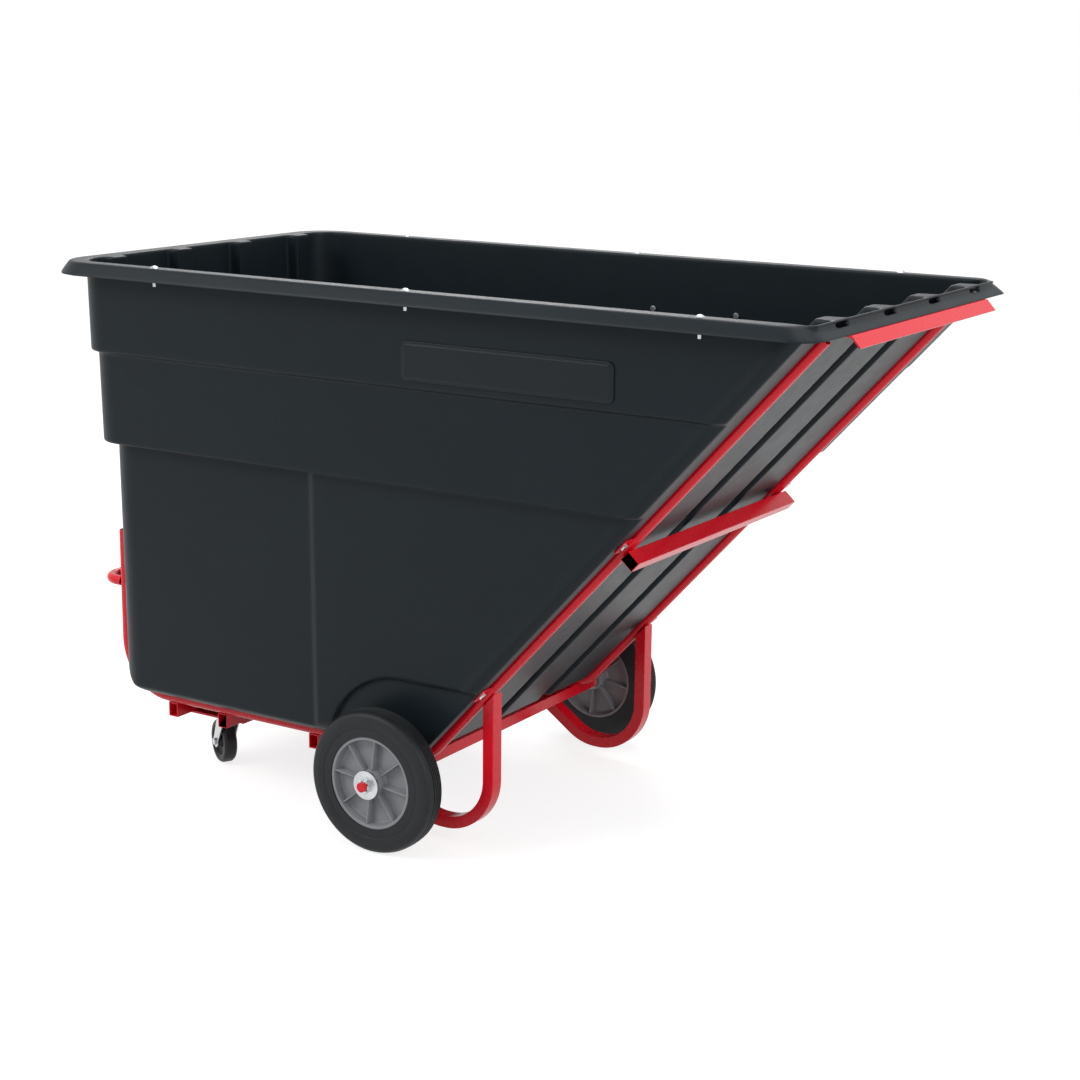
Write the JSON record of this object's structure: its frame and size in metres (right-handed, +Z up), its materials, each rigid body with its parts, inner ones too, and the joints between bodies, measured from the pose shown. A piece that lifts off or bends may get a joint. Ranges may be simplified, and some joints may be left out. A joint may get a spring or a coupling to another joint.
{
  "type": "tilt truck",
  "caption": "Tilt truck with a deep tiered plastic hopper, a slanted dump face, a bent tube frame, large axle wheels and swivel rear casters.",
  "frame": {"origin": "on the ground, under the middle of the whole truck", "axes": "+X towards the dump end, +Y to the left of someone pushing, +Z up"},
  "size_m": [1.8303, 0.984, 1.155],
  "materials": {
    "hopper_plastic": "fine moulded grain, matte",
    "badge_plastic": "fine grain, matte",
    "red_paint": "gloss powder coat",
    "zinc": "bright zinc",
    "tyre_rubber": "matte",
    "wheel_plastic": "satin moulded",
    "bush_plastic": "satin",
    "caster_rubber": "matte",
    "caster_core": "satin"
  },
  "bodies": {
    "frame": {"axle_inner_washers": "zinc", "axle_outer_washers": "zinc", "axle_saddles": "red_paint", "axle_shaft": "red_paint", "axle_tube": "red_paint", "badge_screws": "zinc", "caster_bolts": "zinc", "caster_carriers": "red_paint", "castle_nuts": "zinc", "cotter_pins": "zinc", "floor_bolts": "zinc", "floor_nuts": "zinc", "frame_tabs": "red_paint", "front_cross_tube": "red_paint", "hopper": "hopper_plastic", "left_badge": "badge_plastic", "left_caster_base": "zinc", "left_caster_kingpin": "zinc", "left_leg": "red_paint", "left_rail": "red_paint", "lip_angle": "red_paint", "middle_cross_tube": "red_paint", "push_bar": "red_paint", "rear_cross_tube": "red_paint", "right_badge": "badge_plastic", "right_caster_base": "zinc", "right_caster_kingpin": "zinc", "right_leg": "red_paint", "right_rail": "red_paint", "rim_stud_nuts": "zinc", "rim_studs": "zinc", "slope_cross_tube": "red_paint", "tab_bolts": "zinc"},
    "right_wheel": {"right_tyre": "tyre_rubber", "right_wheel": "wheel_plastic", "right_wheel_bush": "bush_plastic"},
    "left_wheel": {"left_tyre": "tyre_rubber", "left_wheel": "wheel_plastic", "left_wheel_bush": "bush_plastic"},
    "right_caster_fork": {"right_caster_fork": "zinc", "right_caster_axle": "zinc"},
    "left_caster_fork": {"left_caster_fork": "zinc", "left_caster_axle": "zinc"},
    "right_caster_wheel": {"right_caster_wheel": "caster_core", "right_caster_tread": "caster_rubber"},
    "left_caster_wheel": {"left_caster_wheel": "caster_core", "left_caster_tread": "caster_rubber"}
  },
  "joints": [
    {"name": "right_wheel_spin", "type": "hinge", "parent": "frame", "child": "right_wheel", "pos_m": [-0.05278, -0.44, 0.15], "axis": [0, 1, 0], "continuous": true},
    {"name": "left_wheel_spin", "type": "hinge", "parent": "frame", "child": "left_wheel", "pos_m": [-0.05278, 0.44, 0.15], "axis": [0, 1, 0], "continuous": true},
    {"name": "right_caster_swivel", "type": "hinge", "parent": "frame", "child": "right_caster_fork", "pos_m": [-0.63585, -0.20804, 0.115], "axis": [0, 0, 1], "continuous": true},
    {"name": "right_caster_roll", "type": "hinge", "parent": "right_caster_fork", "child": "right_caster_wheel", "pos_m": [-0.66876, -0.18904, 0.05], "axis": [0.5, 0.866, 0], "continuous": true},
    {"name": "left_caster_swivel", "type": "hinge", "parent": "frame", "child": "left_caster_fork", "pos_m": [-0.63585, 0.20804, 0.115], "axis": [0, 0, 1], "continuous": true},
    {"name": "left_caster_roll", "type": "hinge", "parent": "left_caster_fork", "child": "left_caster_wheel", "pos_m": [-0.66876, 0.18904, 0.05], "axis": [-0.5, 0.866, 0], "continuous": true}
  ]
}
